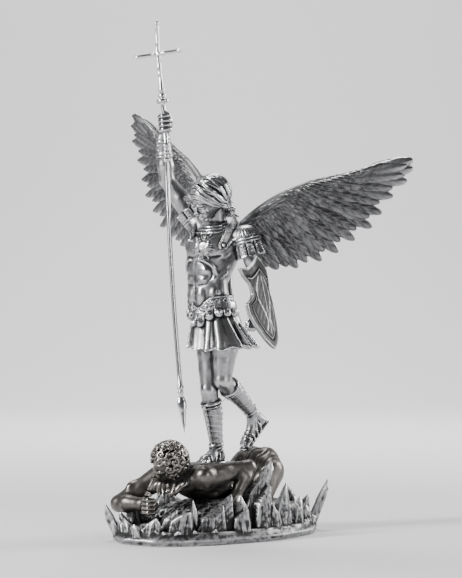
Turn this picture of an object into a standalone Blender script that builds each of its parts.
"""Winged armoured saint standing on a fallen demon: a cast figurine with a lance and a notched shield.

Origin at the centre of the underside, +Z up. The saint looks along -Y and its left hand is on +X.
Poses are drawn on a grid that is as high as the lance's top. Every grid length scales with OVERALL_HEIGHT.
"""

import math

import bmesh
import bpy
from mathutils import Matrix, Vector

# Driving dimensions, millimetres.
OVERALL_HEIGHT = 371.0
BASE_LENGTH = 0.480 * OVERALL_HEIGHT
BASE_WIDTH = 0.291 * OVERALL_HEIGHT
SLAB_THICKNESS = 9.0
SHIELD_HEIGHT = 67.0
SHIELD_WIDTH = 46.0
SHIELD_THICKNESS = 3.0
SHIELD_BULGE = 5.0
SHAFT_RADIUS = 1.65
CROSS_SPAN = 49.0
CROSS_ARM_RADIUS = 1.4
FEATHER_THICKNESS = 2.0
FEATHER_WIDTH = 9.2
# Clearances between pieces that are fitted together.
FIT_GAP = 0.3
# Detail of the solids.
BODY_VOXEL = 0.75
WING_VOXEL = 0.6
DEMON_TRIANGLES = 1700
SAINT_TRIANGLES = 2650
WING_TRIANGLES = 960
LIMB_SIDES = 14

MM = 0.001

# Joints of the saint, grid units.
NECK = (0, 1, 218)
HEAD = (1.8, -9.4, 241.3)
RIGHT_SHOULDER = (-20, -3, 227)
RIGHT_ELBOW = (-36, -17, 255.5)
RIGHT_WRIST = (-34, -22.5, 286)
LEFT_SHOULDER = (24, 5, 213)
LEFT_ELBOW = (31, 11, 181)
LEFT_WRIST = (34, 5, 161)
RIGHT_HIP = (-8, 0, 152)
RIGHT_KNEE = (-3, -6, 104)
RIGHT_ANKLE = (-4.5, 3, 62)
RIGHT_HEEL = (-5.5, 7, 55)
RIGHT_TOES = (-1, -15, 53)
LEFT_HIP = (8, 1, 152)
LEFT_KNEE = (8, -3, 111)
LEFT_ANKLE = (-2, 36, 87)
LEFT_HEEL = (-3, 46, 80)
LEFT_TOES = (-2, 29, 64.5)
# Bow and turn of the head, degrees.
HEAD_BOW = 28.0
HEAD_TURN = -18.0
HAIR_LOCKS = 11
# Where the locks start over the brow and end at the nape, degrees from straight up.
HAIRLINE = -86.0
CROWN_SWEEP = 113.0
# Height, centre x, centre y, half width and half depth of the cuirass and the hips.
TORSO = (
    (146, 0, -1, 15, 12.5),
    (157, -1.6, -2.6, 16.8, 13.8),
    (166, -2.8, -4.2, 16.2, 13.2),
    (176, -4.3, -6.0, 16.4, 12.8),
    (186, -4.6, -6.2, 16.0, 12.5),
    (197, -3.5, -5.2, 18.6, 14.2),
    (206, -2.6, -4.5, 20.2, 14.5),
    (214, -2, -3.5, 18.5, 12),
    (220, -1, -2.5, 12, 9),
    (225, 0, -0.5, 6.5, 6.5),
)
# Height, centre x, centre y, half width, half depth and pleat depth of the skirt.
SKIRT = (
    (163, -1, -2.5, 15, 12.5, 0.3),
    (155, -0.5, -2, 17.5, 15, 1.0),
    (146, 0.8, 0.5, 20.5, 19.5, 1.8),
    (138, 2, 3, 23.2, 23.2, 2.4),
    (133, 2.5, 4, 24.5, 25, 2.7),
)
SKIRT_PLEATS = 15
LAPPETS = 16
LAPPET_RADIUS = 2.9
# Dip of the belt at the front and its half width round the waist, radians.
BELT_DIP = 8.5
DIP_SPREAD = 0.55

# Lance, grid units: point, hand and top of its axis, with a slight bow between them.
LANCE_TIP = (-3.5, -29.5, 74.5)
LANCE_HAND = (-29, -24.8, 296)
CROSS_CENTRE = (-36.6, -25.3, 346.5)
LANCE_TOP = (-37.4, -25.6, 371)
GRID = OVERALL_HEIGHT / LANCE_TOP[2]
BASE_HALF_X = BASE_WIDTH / 2 / GRID
BASE_HALF_Y = BASE_LENGTH / 2 / GRID
SLAB = SLAB_THICKNESS / GRID
# Turned rings as distance along the axis and radius: the knob that ends each arm of the cross, from its tip;
# the stem, from the cross centre, in arm radii; the collars under the cross; the beads under the hand;
# the head, from the point upwards.
FINIAL = ((0, 0.4), (0.6, 1.4), (2.0, 1.9), (3.4, 1.4), (4.0, 1.25))
CROSS_STEM = ((-15, 1.05), (-2.5, 1.1), (0, 1.55), (2.5, 1.0))
COLLARS = (
    (4.2, 1.5), (5.4, 2.1), (6.6, 1.3), (14, 1.4), (22, 1.5), (24.5, 1.6), (25.6, 2.4), (27.2, 2.4),
    (28.2, 1.5), (30.0, 2.8), (31.6, 2.9), (33.2, 1.8), (34.0, 4.7), (35.6, 4.7), (36.4, 2.2), (39, 1.8),
)
BEADS = ((16, 2.7), (18.6, 2.1), (21.2, 2.7), (23.8, 2.1), (26.4, 2.7))
# The leaf blade of the point: its length, how thin it is, and the way its edge looks.
BLADE_LENGTH = 26
BLADE_THINNESS = 0.5
BLADE_SIDE = (0.7, 0.72, 0)
LANCE_HEAD = (
    (32.5, 2.3), (31, 2.3), (30, 1.5), (28.5, 2.1), (26.5, 1.4), (21.5, 3.3), (14, 2.3), (5, 1.1),
    (0.2, 0.25),
)

# Shield frame, grid units and degrees.
SHIELD_CENTRE = (40, 0, 166)
# Right half of the shield's outline: share of the half width and drop from the top as a share of the height.
SHIELD_SIDE = (
    (0, 0), (0.36, 0.075), (0.72, 0.134), (1.0, 0.12), (0.93, 0.194), (0.70, 0.30), (0.66, 0.40),
    (0.80, 0.463), (1.0, 0.50), (0.97, 0.61), (0.80, 0.746), (0.48, 0.896), (0.2, 0.97), (0, 1),
)
SHIELD_TURN = 22.0
SHIELD_LEAN = -12.0

# Wing bones in their own plane: along the span and up, grid units.
WING_BONE = ((-2, 0), (16, 16), (33, 27), (53, 36), (80, 42.5), (104, 50))
# Tips of the flight feathers in the same plane, from the outermost to the innermost.
FLIGHT_TIPS = (
    (125, 54), (125, 48), (121, 39), (111, 28), (103, 16), (96, 6), (84, -3),
    (72, -12), (60, -18), (50, -19), (43, -23), (36, -22), (29, -24), (22, -22), (14, -17),
)
LEFT_WING_ROOT = (10, 10, 215)
LEFT_WING_SPAN = (0.690, 0.724)
RIGHT_WING_ROOT = (-12, 9, 219)
RIGHT_WING_SPAN = (-0.972, 0.235)
RIGHT_WING_SIZE = 1.03
RIGHT_WING_DROOP = 6.0
RIGHT_WING_LIFT = 17.0

# Demon joints, grid units.
DEMON_HEAD = (0, -47, 56)
DEMON_GAZE = Vector((-0.35, -0.55, -0.76))
DEMON_LEFT = ((19, -32, 44), (29, 2, 50), (33, -14, 31), (33, -22, 25))
DEMON_RIGHT = ((-18, -42, 42), (-31, -67, 25), (-8, -66, 26), (1, -65, 25.5))
FINGER_RADIUS = 1.8
FINGER_PITCH = 2.9
CURL_RADIUS = 3.1

# Split rocks round the rim: angle round the oval, inset share, height, half width, half depth, lean outwards,
# lean along the rim, size of the top and slant of the top.
SHARDS = (
    (-117, 0.98, 28, 5.5, 2.8, 10, -2, 0.10, 0.30),
    (-106, 0.95, 17, 6.0, 3.2, 3, -5, 0.15, -0.50),
    (-95, 0.95, 19, 5.0, 3.4, 2, -5, 0.15, -0.40),
    (-84, 0.96, 15, 6.0, 3.2, 2, -3, 0.20, 0.40),
    (-72, 0.95, 20, 8.5, 4.2, 1, 3, 0.15, 0.50),
    (-62, 0.86, 25.5, 7.5, 5.0, 0, 2, 0.40, 0.30),
    (-51, 0.94, 24.5, 8.6, 5.0, 1, 1, 0.80, 0.15),
    (-43, 0.84, 34, 2.6, 4.5, 0, -2, 0.30, -0.50),
    (-33, 0.91, 27, 12.0, 6.5, 1, 5, 0.50, 0.50),
    (-27, 0.86, 37, 11.0, 7.0, 0, 7, 0.35, 0.40),
    (-15, 0.93, 25, 8.0, 5.0, 2, 2, 0.45, 0.30),
    (-13, 0.86, 34, 9.0, 6.5, 0, 3, 0.30, -0.30),
    (-8, 0.78, 57, 8.0, 6.0, 0, 22, 0.62, 0.15),
    (0, 0.92, 43, 8.0, 5.5, 0, 4, 0.60, 0.35),
    (8, 0.94, 26, 7.0, 4.5, 2, -2, 0.30, -0.40),
    (15, 0.92, 40, 10.0, 6.0, 1, 6, 0.22, 0.55),
    (31, 0.93, 30, 6.5, 5.0, 1, 4, 0.35, 0.50),
    (45, 0.94, 22, 7.5, 4.6, 1, 2, 0.40, -0.40),
    (61, 0.96, 40, 4.2, 3.2, 13, 2, 0.12, 0.20),
    (78, 0.94, 27, 8.0, 4.6, 2, -3, 0.35, -0.40),
    (95, 0.93, 35, 8.5, 5.0, 3, 3, 0.30, 0.40),
    (112, 0.92, 25, 9.0, 5.0, 2, 3, 0.45, 0.30),
    (129, 0.92, 37, 10.0, 5.5, 2, 4, 0.30, 0.50),
    (146, 0.92, 28, 10.5, 5.5, 1, -3, 0.45, -0.40),
    (162, 0.90, 41, 10.5, 6.0, 1, 5, 0.30, 0.50),
    (178, 0.92, 29, 10.5, 6.0, 1, 3, 0.50, 0.30),
    (194, 0.90, 36, 10.5, 6.0, 1, -5, 0.30, -0.50),
    (210, 0.92, 25, 10.0, 5.5, 1, 3, 0.45, 0.40),
    (224, 0.92, 31, 8.5, 5.0, 2, -4, 0.30, -0.40),
    (236, 0.94, 21, 7.5, 4.2, 3, 2, 0.30, 0.40),
)

model = None
helpers = None


def grid(point):
    """Grid units to metres."""
    return Vector(point) * (GRID * MM)


def clear_scene():
    for obj in list(bpy.data.objects):
        bpy.data.objects.remove(obj, do_unlink=True)


def collection(name):
    made = bpy.data.collections.new(name)
    bpy.context.scene.collection.children.link(made)
    return made


def metal(name, colour, roughness):
    made = bpy.data.materials.new(name)
    made.use_nodes = True
    shader = made.node_tree.nodes["Principled BSDF"]
    shader.inputs["Base Color"].default_value = (*colour, 1.0)
    shader.inputs["Metallic"].default_value = 0.9
    shader.inputs["Roughness"].default_value = roughness
    return made


def mesh_object(name, bm, where):
    bmesh.ops.recalc_face_normals(bm, faces=bm.faces)
    mesh = bpy.data.meshes.new(name)
    bm.to_mesh(mesh)
    bm.free()
    made = bpy.data.objects.new(name, mesh)
    where.objects.link(made)
    return made


def aligned(direction):
    """Rotation that turns +Z to the direction."""
    return Vector(direction).to_track_quat("Z", "Y").to_matrix().to_4x4()


class Pieces:
    """Collects closed primitives, in grid units, that are fused into one casting."""

    def __init__(self):
        self.bm = bmesh.new()

    def ball(self, centre, radii, turn=None, detail=2):
        if not hasattr(radii, "__len__"):
            radii = (radii, radii, radii)
        place = Matrix.Translation(grid(centre))
        if turn is not None:
            place = place @ turn
        place = place @ Matrix.Diagonal((*(grid(radii)), 1.0))
        bmesh.ops.create_icosphere(self.bm, subdivisions=detail, radius=1.0, matrix=place)

    def cone(self, start, end, start_radius, end_radius):
        a = grid(start)
        b = grid(end)
        place = Matrix.Translation((a + b) / 2) @ aligned(b - a)
        bmesh.ops.create_cone(
            self.bm,
            cap_ends=True,
            segments=LIMB_SIDES,
            radius1=start_radius * GRID * MM,
            radius2=end_radius * GRID * MM,
            depth=(b - a).length,
            matrix=place,
        )

    def limb(self, points, radii):
        """Rounded limb through the points."""
        for point, radius in zip(points, radii):
            self.ball(point, radius)
        for i in range(len(points) - 1):
            self.cone(points[i], points[i + 1], radii[i], radii[i + 1])

    def loft(self, sections):
        """Closed skin over rings of grid points with the same count, from one end to the other."""
        rings = [[self.bm.verts.new(grid(p)) for p in ring] for ring in sections]
        count = len(rings[0])
        for low, high in zip(rings, rings[1:]):
            for i in range(count):
                j = (i + 1) % count
                self.bm.faces.new((low[i], low[j], high[j], high[i]))
        self.bm.faces.new(rings[0])
        self.bm.faces.new(list(reversed(rings[-1])))

    def blade(self, root, tip, face, width, thick, droop=0.0):
        """Feather from root to tip: a flat rounded vane whose broad side looks along face."""
        root = Vector(root)
        tip = Vector(tip)
        along = (tip - root).normalized()
        face = Vector(face)
        face = (face - along * face.dot(along)).normalized()
        side = along.cross(face)
        sections = []
        for share, wide in ((0.0, 0.45), (0.25, 0.85), (0.55, 1.0), (0.8, 0.85), (0.94, 0.5), (1.0, 0.16)):
            centre = root.lerp(tip, share) + face * (droop * math.sin(math.pi * share))
            half = width * wide / 2
            rise = thick / 2
            edge = rise * 0.35
            sections.append(
                (
                    centre + side * half + face * edge,
                    centre + face * rise,
                    centre - side * half + face * edge,
                    centre - side * half - face * edge,
                    centre - face * rise,
                    centre + side * half - face * edge,
                )
            )
        self.loft(sections)

    def box(self, centre, sizes, turn=None):
        place = Matrix.Translation(grid(centre))
        if turn is not None:
            place = place @ turn
        place = place @ Matrix.Diagonal((*(grid(sizes)), 1.0))
        bmesh.ops.create_cube(self.bm, size=1.0, matrix=place)


def oval(height, cx, cy, half_x, half_y, count=36, ripples=0, depth=0.0):
    """Ring of grid points, with pleats where ripples is set."""
    ring = []
    for i in range(count):
        angle = 2 * math.pi * i / count
        swell = depth * math.cos(ripples * angle) if ripples else 0.0
        ring.append(
            (cx + (half_x + swell) * math.cos(angle), cy + (half_y + swell) * math.sin(angle), height)
        )
    return ring


def evaluated_triangles(obj):
    graph = bpy.context.evaluated_depsgraph_get()
    made = bpy.data.meshes.new_from_object(obj.evaluated_get(graph))
    made.calc_loop_triangles()
    count = len(made.loop_triangles)
    bpy.data.meshes.remove(made)
    return count


def bake(obj):
    """Applies the modifiers of the object."""
    graph = bpy.context.evaluated_depsgraph_get()
    made = bpy.data.meshes.new_from_object(obj.evaluated_get(graph))
    obj.modifiers.clear()
    old = obj.data
    obj.data = made
    bpy.data.meshes.remove(old)


def fuse(obj, voxel, triangles, smoothing):
    """One smooth skin round all the primitives of the object, at the wanted number of triangles."""
    skin = obj.modifiers.new("skin", "REMESH")
    skin.mode = "VOXEL"
    skin.voxel_size = voxel * GRID * MM
    skin.use_smooth_shade = True
    soften = obj.modifiers.new("soften", "SMOOTH")
    soften.factor = 0.5
    soften.iterations = smoothing
    count = evaluated_triangles(obj)
    thin = obj.modifiers.new("thin", "DECIMATE")
    thin.ratio = min(1.0, triangles / count)
    thin.use_collapse_triangulate = True
    bake(obj)


def boolean(obj, tool, operation):
    cut = obj.modifiers.new(operation.lower(), "BOOLEAN")
    cut.operation = operation
    cut.solver = "EXACT"
    cut.object = tool
    cut.use_self = False


def swollen(obj, name, by):
    """Helper copy whose surface stands off by the clearance."""
    graph = bpy.context.evaluated_depsgraph_get()
    mesh = bpy.data.meshes.new_from_object(obj.evaluated_get(graph))
    made = bpy.data.objects.new(name, mesh)
    helpers.objects.link(made)
    push = made.modifiers.new("stand off", "DISPLACE")
    push.strength = by * MM
    push.mid_level = 0.0
    bake(made)
    hide(made)
    return made


def hide(obj):
    obj.hide_render = True
    obj.display_type = "WIRE"


def largest_shell(obj):
    """Keeps the biggest connected skin, so that crumbs left by a cut go."""
    bm = bmesh.new()
    bm.from_mesh(obj.data)
    left = set(bm.verts)
    shells = []
    while left:
        stack = [left.pop()]
        shell = set(stack)
        while stack:
            vert = stack.pop()
            for edge in vert.link_edges:
                other = edge.other_vert(vert)
                if other in left:
                    left.discard(other)
                    shell.add(other)
                    stack.append(other)
        shells.append(shell)
    shells.sort(key=len)
    crumbs = [v for shell in shells[:-1] for v in shell]
    bmesh.ops.delete(bm, geom=crumbs, context="VERTS")
    bm.to_mesh(obj.data)
    bm.free()


def rim_point(angle_deg, inset):
    angle = math.radians(angle_deg)
    return Vector((BASE_HALF_X * inset * math.cos(angle), BASE_HALF_Y * inset * math.sin(angle), 0))


def shard_corners(index, angle, inset, height, half_width, half_depth, out, along, top, slant):
    """Corners of one split rock, which leans and ends in a slanting broken top."""
    foot = rim_point(angle, inset)
    outward = Vector((foot.x / BASE_HALF_X**2, foot.y / BASE_HALF_Y**2, 0)).normalized()
    side = Vector((-outward.y, outward.x, 0))
    foot -= outward * half_depth
    uneven = 0.12 * math.sin(7.3 * index)
    outline = (
        (-1.0, -0.7 + uneven),
        (0.1, -1.0),
        (1.0, -0.5 - uneven),
        (0.75, 0.7),
        (-0.1, 1.0),
        (-0.9, 0.5 + uneven),
    )
    rise = height - SLAB
    corners = []
    levels = ((SLAB * 0.45, 1.25, 0.0), (SLAB + rise * 0.5, (1.1 + top) / 2, 0.5), (height, top, 1.0))
    for level, size, share in levels:
        middle = foot + (side * along + outward * out) * share
        for i, (x, y) in enumerate(outline):
            chip = 0.06 * (1 + math.sin(2.1 * i + 1.7 * index))
            drop = rise * (abs(slant) - slant * x + chip) * (share == 1.0)
            spot = middle + side * (x * half_width * size) + outward * (y * half_depth * size)
            corners.append(spot + Vector((0, 0, level - drop)))
    return corners


def shard(index, row):
    bm = bmesh.new()
    for corner in shard_corners(index, *row):
        bm.verts.new(grid(corner))
    hull = bmesh.ops.convex_hull(bm, input=bm.verts)
    inner = [v for v in hull["geom_interior"] if isinstance(v, bmesh.types.BMVert)]
    bmesh.ops.delete(bm, geom=inner, context="VERTS")
    bmesh.ops.triangulate(bm, faces=bm.faces)
    return mesh_object(f"shard_{index:02d}", bm, helpers)


def make_demon():
    """The fallen demon, face down along the base with its head on -Y."""
    body = Pieces()
    body.ball((0, 35, 44), (19, 17, 18.5))
    body.ball((7, 41, 47), (11, 12, 15))
    body.ball((-7, 41, 47), (11, 12, 15))
    body.ball((0, 12, 38), (16, 22, 12.5))
    body.ball((0, -16, 39), (20, 22, 13))
    body.ball((8, -20, 42), (11, 15, 10.5))
    body.ball((-8, -20, 41), (11, 15, 10))
    body.ball((0, -36, 42), (19, 11, 10))
    body.limb(((0, -38, 45), (0, -45, 52)), (9, 9))
    body.ball(DEMON_HEAD, (12, 12.5, 13))
    body.ball((-3, -54, 47), (8, 7, 9))
    body.limb(((-3, -57, 41), (-2, -60, 35)), (5, 3))
    for row in range(5):
        rise = math.radians(-20 + row * 28)
        around = 12 if row < 2 else (9, 6, 1)[row - 2]
        for step in range(around):
            turn = 2 * math.pi * (step + 0.5 * (row % 2)) / around
            level = math.cos(rise)
            spot = Vector((math.cos(turn) * level, math.sin(turn) * level, math.sin(rise)))
            if spot.dot(DEMON_GAZE) > 0.6:
                continue
            curl = Vector((spot.x * 12.5, spot.y * 13, spot.z * 13.5))
            body.ball(Vector(DEMON_HEAD) + curl, CURL_RADIUS, detail=1)
    body.limb(DEMON_LEFT, (9, 6, 4.6, 4.6))
    body.ball(Vector(DEMON_LEFT[0]).lerp(Vector(DEMON_LEFT[1]), 0.45), (6.5, 11, 7))
    body.limb(DEMON_RIGHT, (9, 6.4, 5, 5.6))
    for finger in range(4):
        step = finger * FINGER_PITCH
        body.limb(((-3, -70.5, 30.0 - step), (5.5, -69.5, 29.7 - step)), (FINGER_RADIUS, FINGER_RADIUS))
        body.limb(((35 - step * 0.9, -22, 25), (35.5 - step, -29, 20)), (FINGER_RADIUS, FINGER_RADIUS * 0.8))
    for mirror in (-1, 1):
        body.limb(((12 * mirror, 38, 44), (22 * mirror, 17, 22)), (12.5, 8.5))
        body.limb(((22 * mirror, 17, 20), (19 * mirror, 58, 16)), (8, 5.5))
        body.limb(((19 * mirror, 58, 15), (17 * mirror, 70, 12)), (5, 4))
    body.ball((0, 5, 14), (40, 60, 15), detail=3)
    demon = mesh_object("demon_helper", body.bm, helpers)
    fuse(demon, BODY_VOXEL, DEMON_TRIANGLES, 3)
    return demon


def make_base():
    """Oval rock base with its ring of shards and the demon, cast in one piece."""
    demon = make_demon()
    skirting = bmesh.new()
    outline = []
    steps = 36
    for i in range(steps):
        angle = 360.0 * i / steps
        around = math.radians(angle)
        ragged = 1.0 + 0.012 * math.sin(5 * around) + 0.009 * math.sin(11 * around + 1)
        outline.append((angle, ragged))
    rings = []
    for level, size in ((0.0, 0.985), (SLAB * 0.4, 1.0), (SLAB, 0.94)):
        ring = []
        for angle, ragged in outline:
            share = (1.0 if level == 0 else ragged) * 0.985 * size
            ring.append(skirting.verts.new(grid(rim_point(angle, share) + Vector((0, 0, level)))))
        rings.append(ring)
    for low, high in zip(rings, rings[1:]):
        for i in range(steps):
            j = (i + 1) % steps
            skirting.faces.new((low[i], low[j], high[j], high[i]))
    skirting.faces.new(list(reversed(rings[0])))
    skirting.faces.new(rings[-1])
    base = mesh_object("base_with_demon", skirting, model)
    floor = Pieces()
    floor.box((0, 0, SLAB * 0.4 - BASE_HALF_X), (BASE_HALF_X * 4, BASE_HALF_Y * 4, BASE_HALF_X * 2))
    under = mesh_object("below_slab_top", floor.bm, helpers)
    boolean(demon, under, "DIFFERENCE")
    bake(demon)
    largest_shell(demon)
    hide(demon)
    hide(under)
    boolean(base, demon, "UNION")
    for index, row in enumerate(SHARDS):
        rock = shard(index, row)
        hide(rock)
        boolean(base, rock, "UNION")
    bake(base)
    largest_shell(base)
    return base


def bellied(start, end, share, bulge=(0, 0, 0)):
    """Three points of a limb whose muscle is thickest at a share of its length, set off by bulge."""
    return start, Vector(start).lerp(Vector(end), share) + Vector(bulge), end


def fist(body, centre, axis, radius):
    """Closed hand round a rod along the axis."""
    centre = Vector(centre)
    axis = Vector(axis).normalized()
    out = Vector((0.35, -0.94, 0))
    out = (out - axis * out.dot(axis)).normalized()
    side = axis.cross(out)
    body.limb((centre - axis * 4, centre + axis * 4), (radius, radius))
    for finger in range(4):
        knuckle = centre + axis * (5.0 - finger * 3.3)
        bends = (-1.6, -0.8, 0.0, 0.8, 1.6)
        arc = [knuckle + (out * math.cos(a) + side * math.sin(a)) * (radius * 0.92) for a in bends]
        body.limb(arc, (1.7, 1.8, 1.8, 1.8, 1.7))
    body.limb((centre + axis * 5 + side * 4, centre + axis * 8 + out * 4 + side * 2), (1.9, 1.6))


def make_saint():
    """The armoured saint, from hair to sandals."""
    body = Pieces()
    body.loft([oval(*row) for row in TORSO])
    count = SKIRT_PLEATS * 8
    skirt = [oval(*row[:5], count=count, ripples=SKIRT_PLEATS, depth=row[5]) for row in SKIRT]
    body.loft(skirt)
    # Chest and stomach muscles of the cuirass.
    for mirror in (-1, 1):
        body.ball((1.5 + mirror * 8.6, -11.6, 205), (11.0, 5.2, 8.4))
        for across, depth, height in ((6.0, -15.4, 190.3), (4.9, -15.6, 183.4), (4.3, -15.0, 172.5)):
            body.ball((-4.4 + mirror * across, depth, height), (5.6, 3.6, 5.4))
        body.ball((-4.4 + mirror * 12, -12, 173), (4.6, 5.0, 8))
        body.ball((-1 + mirror * 13, 0, 204), (7.0, 8.0, 9))
        body.ball((mirror * 9, 7, 205), (9, 6, 12))
    # Belt and its hanging round-bossed tabs.
    for step in range(LAPPETS):
        angle = 2 * math.pi * (step + 0.5) / LAPPETS
        dip = BELT_DIP * math.exp(-(((angle - 1.5 * math.pi) / DIP_SPREAD) ** 2))
        middle = Vector((-2 + 16.6 * math.cos(angle), -3.2 + 14.2 * math.sin(angle), 163.0 - dip))
        outward = Vector((1.1 * math.cos(angle), 1.1 * math.sin(angle), -2.5))
        body.limb((middle + Vector((0, 0, 3)), middle + outward), (LAPPET_RADIUS, LAPPET_RADIUS * 1.07))
    # Collar muscles out to the shoulders, and shoulder caps with hanging strips.
    body.limb(((-6, -2, 213), RIGHT_SHOULDER), (10.5, 9))
    body.limb(((6, -1, 212), LEFT_SHOULDER), (9.5, 8.5))
    for shoulder, lift in ((RIGHT_SHOULDER, 5), (LEFT_SHOULDER, 0)):
        body.ball(Vector(shoulder) + Vector((0, 0, 0.2 * lift)), (9.3, 9.3, 8.5))
    down = Vector(LEFT_ELBOW) - Vector(LEFT_SHOULDER)
    down.normalize()
    across = down.orthogonal().normalized()
    for step in range(9):
        turn = Matrix.Rotation(2 * math.pi * step / 9, 3, down)
        out = turn @ across
        start = Vector(LEFT_SHOULDER) + down * 4 + out * 8
        body.blade(start, start + down * 11 + out * 1.5, out, 6.0, 2.4)
    # Right arm, raised, with its bracer and its fist round the lance.
    body.limb(bellied(RIGHT_SHOULDER, RIGHT_ELBOW, 0.5), (8.6, 7.6, 5.8))
    body.limb(bellied(RIGHT_ELBOW, RIGHT_WRIST, 0.35), (5.6, 5.8, 4.1))
    body.limb((RIGHT_WRIST, LANCE_HAND), (3.9, 3.7))
    fist(body, LANCE_HAND, Vector(CROSS_CENTRE) - Vector(LANCE_TIP), 3.7)
    # Left arm, lowered behind the shield.
    body.limb(bellied(LEFT_SHOULDER, LEFT_ELBOW, 0.5), (7.6, 6.6, 5.0))
    body.limb(bellied(LEFT_ELBOW, LEFT_WRIST, 0.35), (5.0, 5.6, 3.8))
    palm = Vector(LEFT_WRIST) + Vector((0.5, -3, -6))
    body.limb((LEFT_WRIST, palm), (3.8, 4.2))
    for finger in range(4):
        spot = palm + Vector((1.2, 1.5 - finger * 2.3, -3))
        body.limb((spot, spot + Vector((-1.5, -0.5, -4))), (1.7, 1.5))
    # Neck, head, face and hair.
    nape = Vector(HEAD) + Vector((-1, 6, -2))
    body.limb((NECK, Vector(NECK).lerp(nape, 0.5), nape), (6.6, 6.3, 6.5))
    tilt = Matrix.Rotation(math.radians(HEAD_BOW), 4, "X") @ Matrix.Rotation(math.radians(HEAD_TURN), 4, "Z")
    head = Vector(HEAD)

    def of_head(x, y, z):
        return head + tilt.to_3x3() @ Vector((x, y, z))

    body.ball(of_head(0, 1, 2), (11, 12.5, 11), tilt)
    body.ball(of_head(0, -4.5, -3), (7.8, 8.2, 9.2), tilt)
    body.ball(of_head(0, -12.2, -3.9), (1.5, 2.4, 2.8), tilt)
    body.ball(of_head(0, -10.8, -0.6), (6, 2.2, 1.7), tilt)
    body.ball(of_head(0, -11.2, -7.7), (2.9, 1.9, 1.5), tilt)
    body.ball(of_head(0, -10.2, -10.4), (3.0, 2.5, 2.1), tilt)
    # Swept hair: locks over the skull from the brow to the nape, flicked out at their ends.
    for step in range(HAIR_LOCKS):
        spread = math.radians(-78 + 156 * step / (HAIR_LOCKS - 1))
        path = []
        for share in (0.0, 0.25, 0.5, 0.75, 1.0):
            turn = math.radians(HAIRLINE + (CROWN_SWEEP - HAIRLINE) * share)
            wave = 0.06 * math.sin(2.5 * step + 6 * share)
            path.append(
                head
                + Vector(
                    (
                        13.2 * (math.sin(spread) + wave),
                        14.2 * math.cos(spread) * math.sin(turn) + 1.5,
                        13.4 * math.cos(spread) * math.cos(turn) + 1.5 - 3 * share * abs(math.sin(spread)),
                    )
                )
            )
        flick = Vector((2.0 + 2.5 * math.sin(step * 1.9), 4.0, -3.0 - 2 * math.cos(step * 2.3)))
        path.append(path[-1] + flick)
        body.limb(path, (1.6, 2.4, 2.9, 2.9, 2.7, 1.5))
    # Legs with greaves and sandals.
    body.limb((RIGHT_HIP, Vector(RIGHT_HIP).lerp(Vector(RIGHT_KNEE), 0.45), RIGHT_KNEE), (10.5, 9.2, 6.4))
    body.limb(bellied(RIGHT_KNEE, RIGHT_ANKLE, 0.35, (0, 1.5, 0)), (6.2, 7.0, 4.2))
    body.limb((LEFT_HIP, Vector(LEFT_HIP).lerp(Vector(LEFT_KNEE), 0.45), LEFT_KNEE), (10.5, 9.0, 6.3))
    body.limb(bellied(LEFT_KNEE, LEFT_ANKLE, 0.35, (0, 0.8, -1)), (6.1, 6.8, 4.1))
    for ankle, heel, toes in ((RIGHT_ANKLE, RIGHT_HEEL, RIGHT_TOES), (LEFT_ANKLE, LEFT_HEEL, LEFT_TOES)):
        middle = Vector(heel).lerp(Vector(toes), 0.55)
        body.limb((ankle, heel), (4.2, 4.2))
        body.limb((ankle, middle, toes), (4.2, 4.3, 3.6))
        body.limb((heel, toes), (4.0, 4.0))
    for knee, ankle in ((RIGHT_KNEE, RIGHT_ANKLE), (LEFT_KNEE, LEFT_ANKLE)):
        top = Vector(knee).lerp(Vector(ankle), 0.2)
        low = Vector(knee).lerp(Vector(ankle), 0.28)
        body.cone(top, low, 8.2, 7.8)
    saint = mesh_object("archangel", body.bm, model)
    fuse(saint, BODY_VOXEL, SAINT_TRIANGLES, 2)
    return saint


def wing_point(root, span, lift_deg, along, up, forward=0.0):
    """Point of the wing plane in the saint's frame, with the wing curling forward at its tip."""
    lift = math.radians(lift_deg)
    u = along * math.cos(lift) - up * math.sin(lift)
    v = along * math.sin(lift) + up * math.cos(lift)
    across = Vector((span[0], span[1], 0)).normalized()
    ahead = Vector((span[1], -span[0], 0)).normalized()
    if span[0] < 0:
        ahead = -ahead
    curl = 0.0007 * along * along
    return Vector(root) + across * u + Vector((0, 0, v)) + ahead * (forward + curl)


def bone_at(share):
    place = share * (len(WING_BONE) - 1)
    index = min(int(place), len(WING_BONE) - 2)
    part = place - index
    a = WING_BONE[index]
    b = WING_BONE[index + 1]
    return a[0] + (b[0] - a[0]) * part, a[1] + (b[1] - a[1]) * part


def root_share(place):
    """Where along the bone the feather at this place in the row starts: well inward of its tip."""
    return 0.86 * (1 - place) ** 1.25


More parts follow.
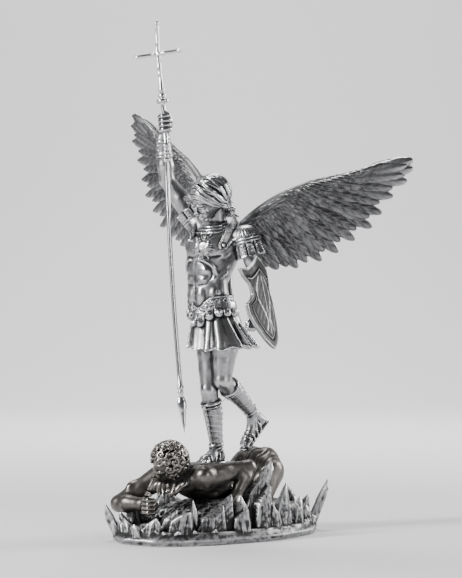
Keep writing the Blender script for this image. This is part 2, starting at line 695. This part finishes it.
def make_wing(name, root, span, lift, size, droop):
    """Feathered wing: a bone, long flight feathers and rows of coverts over their roots."""
    wing = Pieces()

    def at(along, up, forward=0.0):
        return wing_point(root, span, lift, along * size, up * size, forward)

    tips = [(x, y - droop * math.sin(math.pi * min(1.0, i / 10))) for i, (x, y) in enumerate(FLIGHT_TIPS)]

    face = at(0, 0, 1) - at(0, 0, 0)
    wing.limb([at(x, y) for x, y in WING_BONE], (6.0, 5.6, 5.6, 4.2, 3.0, 1.8))
    wing.ball(at(2, 2), (6, 6, 9))
    count = len(tips)
    for i in range(2 * count - 1):
        index = i // 2
        tip = tips[index]
        if i % 2:
            tip = [(a + b) * 0.5 for a, b in zip(tips[index], tips[index + 1])]
        x, y = bone_at(root_share(i / 2 / (count - 1)))
        keep = 0.88 if i % 2 else 1.0
        back = 0.6 if i % 2 else -0.9
        end = at(x + (tip[0] - x) * keep, y + (tip[1] - y) * keep, back - 0.5)
        wing.blade(at(x, y - 1.5, back - 0.8), end, face, FEATHER_WIDTH, FEATHER_THICKNESS / GRID)
    for row, (reach, wide, rows) in enumerate(((0.62, 8.0, 15), (0.40, 6.5, 17), (0.22, 5.0, 19))):
        for i in range(rows):
            share = i / (rows - 1)
            place = share * (count - 1)
            index = min(int(place), count - 2)
            part = place - index
            tx = tips[index][0] * (1 - part) + tips[index + 1][0] * part
            ty = tips[index][1] * (1 - part) + tips[index + 1][1] * part
            x, y = bone_at(root_share(share))
            lean = 1.3 + row * 0.9
            for ahead in (1, -1):
                wing.blade(
                    at(x, y, ahead * lean),
                    at(x + (tx - x) * reach, y + (ty - y) * reach, ahead * (lean * 0.8)),
                    face,
                    wide,
                    FEATHER_THICKNESS * 0.9 / GRID,
                )
    made = mesh_object(name, wing.bm, model)
    fuse(made, WING_VOXEL, WING_TRIANGLES, 2)
    return made


def lance_axis(distance):
    """Point on the lance at a distance below the cross centre, following its slight bow."""
    top = Vector(LANCE_TOP)
    cross = Vector(CROSS_CENTRE)
    hand = Vector(LANCE_HAND)
    tip = Vector(LANCE_TIP)
    if distance < 0:
        return cross + (top - cross) * (-distance / (top - cross).length)
    upper = (hand - cross).length
    if distance < upper:
        return cross.lerp(hand, distance / upper)
    lower = (tip - hand).length
    share = (distance - upper) / lower
    bow = Vector((-1.0, -0.4, 0)) * (2.2 * math.sin(math.pi * min(share, 1.0)))
    return hand.lerp(tip, share) + bow


def make_lance():
    """Long lance with a leaf point, turned rings, a disc and a cross on top."""
    upper = (Vector(LANCE_HAND) - Vector(CROSS_CENTRE)).length
    total = upper + (Vector(LANCE_TIP) - Vector(LANCE_HAND)).length
    above = (Vector(LANCE_TOP) - Vector(CROSS_CENTRE)).length
    shaft = SHAFT_RADIUS / GRID
    arm = CROSS_ARM_RADIUS / GRID
    profile = [(d - above, r) for d, r in FINIAL] + [(d, r * CROSS_ARM_RADIUS / GRID) for d, r in CROSS_STEM]
    profile += [*COLLARS, (upper - 8, shaft), (upper + 14, shaft)]
    for below, radius in BEADS:
        bead = upper + below
        profile += [(bead - 1.2, radius * 0.72), (bead, radius), (bead + 1.2, radius * 0.72)]
    profile += [(upper + 28.6, shaft), (upper + 80, shaft), (upper + 130, shaft), (total - 34, shaft)]
    profile += [(total - d, r) for d, r in LANCE_HEAD]
    sides = 8
    bm = bmesh.new()
    rings = []
    for distance, radius in profile:
        centre = lance_axis(distance)
        ahead = (lance_axis(distance + 1.0) - lance_axis(distance - 1.0)).normalized()
        side = ahead.cross(Vector(BLADE_SIDE)).normalized()
        other = ahead.cross(side)
        flat = BLADE_THINNESS if distance > total - BLADE_LENGTH else 1.0
        rings.append(
            [
                bm.verts.new(grid(centre + (side * math.cos(a) * flat + other * math.sin(a)) * radius))
                for a in (2 * math.pi * i / sides for i in range(sides))
            ]
        )
    for low, high in zip(rings, rings[1:]):
        for i in range(sides):
            j = (i + 1) % sides
            bm.faces.new((low[i], low[j], high[j], high[i]))
    bm.faces.new(rings[0])
    bm.faces.new(list(reversed(rings[-1])))
    bmesh.ops.triangulate(bm, faces=bm.faces)
    lance = mesh_object("spear", bm, model)
    bars = bmesh.new()
    half = CROSS_SPAN / 2 / GRID
    across = (Vector((1, 0, 0)) + Vector((0, 0, 0.03))).normalized()
    bar = [(d - half, r) for d, r in FINIAL] + [(-5.5, arm), (-4.6, 1.8), (-3.6, arm)]
    bar += [(-x, r) for x, r in reversed(bar)]
    rings = []
    side = Vector((0, 1, 0))
    other = across.cross(side)
    for distance, radius in bar:
        centre = Vector(CROSS_CENTRE) + across * distance
        rings.append(
            [
                bars.verts.new(grid(centre + (side * math.cos(a) + other * math.sin(a)) * radius))
                for a in (2 * math.pi * i / sides for i in range(sides))
            ]
        )
    for low, high in zip(rings, rings[1:]):
        for i in range(sides):
            j = (i + 1) % sides
            bars.faces.new((low[i], low[j], high[j], high[i]))
    bars.faces.new(rings[0])
    bars.faces.new(list(reversed(rings[-1])))
    crossbar = mesh_object("crossbar", bars, helpers)
    hide(crossbar)
    boolean(lance, crossbar, "UNION")
    bake(lance)
    return lance


def shield_frame():
    turn = Matrix.Rotation(math.radians(SHIELD_TURN), 4, "Z")
    lean = Matrix.Rotation(math.radians(SHIELD_LEAN), 4, "Y")
    return Matrix.Translation(grid(SHIELD_CENTRE)) @ turn @ lean


def make_shield():
    """Notched heater shield with a raised rim; its face looks along +X before it is turned."""
    half = SHIELD_WIDTH / 2
    top = SHIELD_HEIGHT * 0.5
    outline = [(x, top - drop * SHIELD_HEIGHT) for x, drop in SHIELD_SIDE]
    ring = [(x * half, z) for x, z in outline] + [(-x * half, z) for x, z in reversed(outline[1:-1])]
    bm = bmesh.new()
    layers = []
    middle = Vector((0.0, -4.0))
    for level, shrink in ((0, 1.0), (1, 1.0), (1, 0.86), (0.72, 0.82)):
        layer = []
        for y, z in ring:
            spot = middle + (Vector((y, z)) - middle) * shrink
            bulge = SHIELD_BULGE * (1 - (spot.x / half) ** 2)
            depth = bulge + SHIELD_THICKNESS * level
            layer.append(bm.verts.new(Vector((depth, spot.x, spot.y)) * MM))
        layers.append(layer)
    count = len(ring)
    for low, high in zip(layers, layers[1:]):
        for i in range(count):
            j = (i + 1) % count
            bm.faces.new((low[i], low[j], high[j], high[i]))
    rows = []
    for level in (0, 0.72):
        spine = []
        for drop in (0.21, 0.45, 0.66, 0.82):
            depth = SHIELD_BULGE + SHIELD_THICKNESS * level
            spine.append(bm.verts.new(Vector((depth, 0, top - drop * SHIELD_HEIGHT)) * MM))
        rows.append(spine)
    for layer, spine, flip in ((layers[0], rows[0], False), (layers[-1], rows[1], True)):
        edges = []
        for i in range(count):
            edges.append(bm.edges.get((layer[i], layer[(i + 1) % count])))
        for a, b in zip(spine, spine[1:]):
            edges.append(bm.edges.new((a, b)))
        edges.append(bm.edges.new((layer[0], spine[0])))
        edges.append(bm.edges.new((spine[-1], layer[len(outline) - 1])))
        half_one = layer[: len(outline)] + list(reversed(spine))
        half_two = [layer[0]] + spine + layer[len(outline) - 1 :]
        bm.faces.new(half_one)
        bm.faces.new(half_two)
    bmesh.ops.triangulate(bm, faces=bm.faces)
    made = mesh_object("shield", bm, model)
    made.data.transform(shield_frame())
    return made


def dress(obj, material):
    obj.data.materials.clear()
    obj.data.materials.append(material)
    for polygon in obj.data.polygons:
        polygon.use_smooth = True


def build():
    global model, helpers
    clear_scene()
    model = collection("winged_saint_statue")
    helpers = collection("helpers")
    helpers.hide_render = True
    base = make_base()
    saint = make_saint()
    left = make_wing("left_wing", LEFT_WING_ROOT, LEFT_WING_SPAN, 0.0, 1.0, 0.0)
    right = make_wing(
        "right_wing", RIGHT_WING_ROOT, RIGHT_WING_SPAN, RIGHT_WING_LIFT, RIGHT_WING_SIZE, RIGHT_WING_DROOP
    )
    shield = make_shield()
    lance = make_lance()
    boolean(saint, swollen(base, "base_clearance", FIT_GAP), "DIFFERENCE")
    boolean(saint, swollen(lance, "lance_clearance", FIT_GAP), "DIFFERENCE")
    boolean(saint, swollen(shield, "shield_clearance", FIT_GAP), "DIFFERENCE")
    bake(saint)
    largest_shell(saint)
    room = swollen(saint, "saint_clearance", FIT_GAP)
    for wing in (left, right):
        boolean(wing, room, "DIFFERENCE")
        bake(wing)
        largest_shell(wing)
    dress(base, metal("aged_silver_rock", (0.30, 0.30, 0.31), 0.5))
    dress(saint, metal("aged_silver_figure", (0.34, 0.34, 0.35), 0.42))
    dress(left, metal("aged_silver_left_wing", (0.32, 0.32, 0.33), 0.45))
    dress(right, metal("aged_silver_right_wing", (0.32, 0.32, 0.33), 0.46))
    dress(shield, metal("aged_silver_shield", (0.36, 0.36, 0.37), 0.4))
    dress(lance, metal("aged_silver_lance", (0.42, 0.42, 0.43), 0.35))


build()
